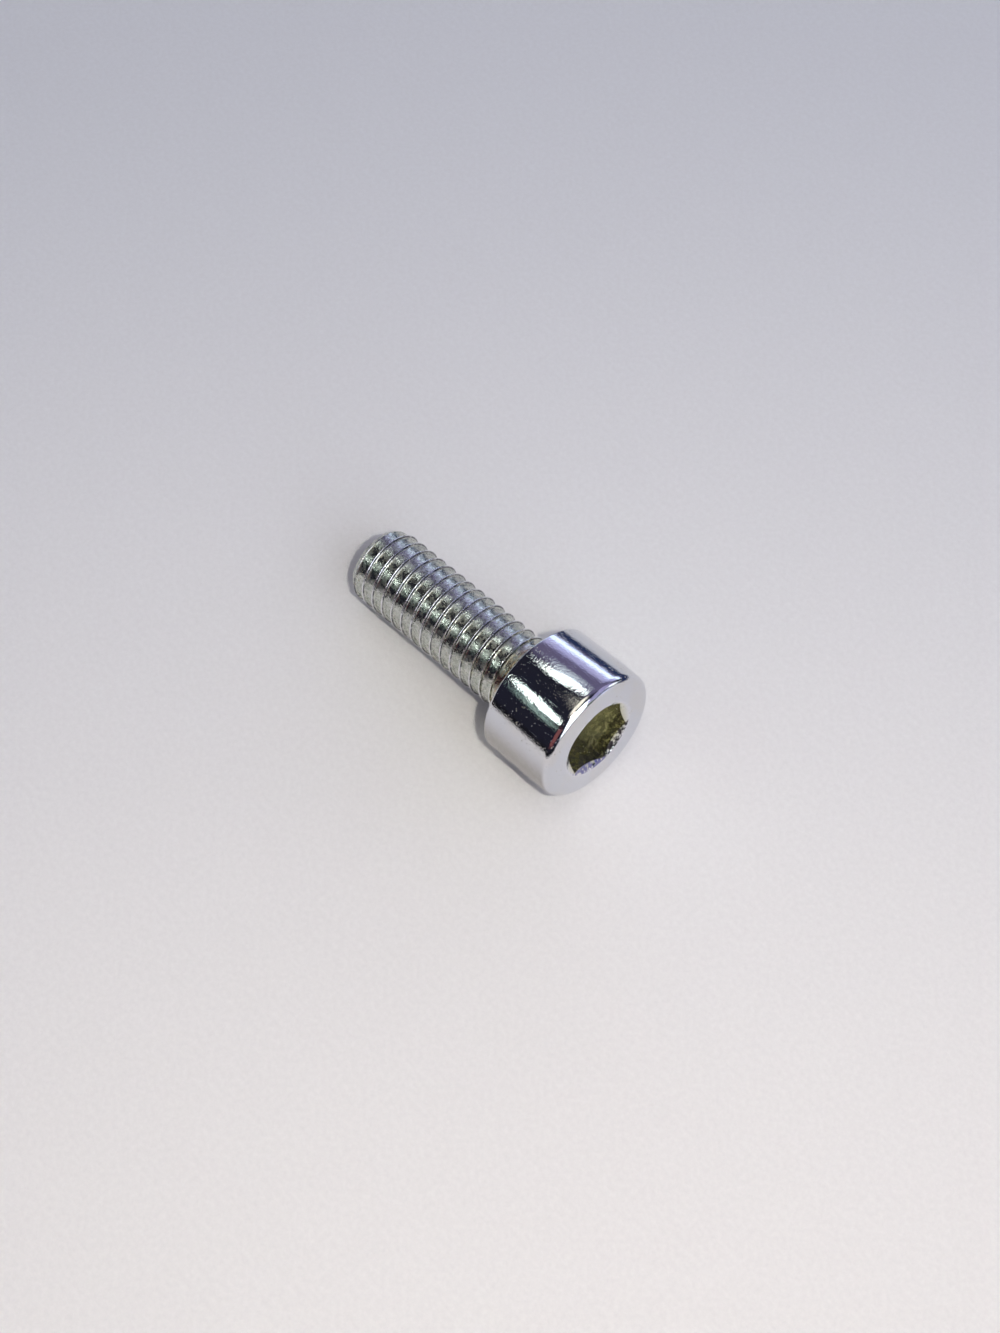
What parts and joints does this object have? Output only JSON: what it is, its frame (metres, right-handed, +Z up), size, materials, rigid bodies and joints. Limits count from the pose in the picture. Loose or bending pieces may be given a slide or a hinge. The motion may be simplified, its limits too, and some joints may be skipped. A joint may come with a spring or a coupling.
{
  "type": "hex socket cap screw",
  "caption": "Short metric cap screw in bright zinc-plated steel: a smooth cylindrical head with a hexagon socket on a shank threaded up to the head.",
  "frame": {"origin": "middle of the footprint of the lying screw, on the surface it rests on", "axes": "+X horizontal, from the tip towards the head, above the screw's own axis; +Z up. The screw's own axis leans 7.31 degrees up towards the head, because it rests on the foot of its head and on the end of its thread."},
  "size_m": [0.0228, 0.01, 0.0106],
  "materials": {
    "zinc_plated_steel": "bright blue-white zinc plating on steel, glossy with a slight orange peel, fine pits and hairline scratches"
  },
  "bodies": {
    "root": {"cap_screw": "zinc_plated_steel"}
  },
  "joints": []
}
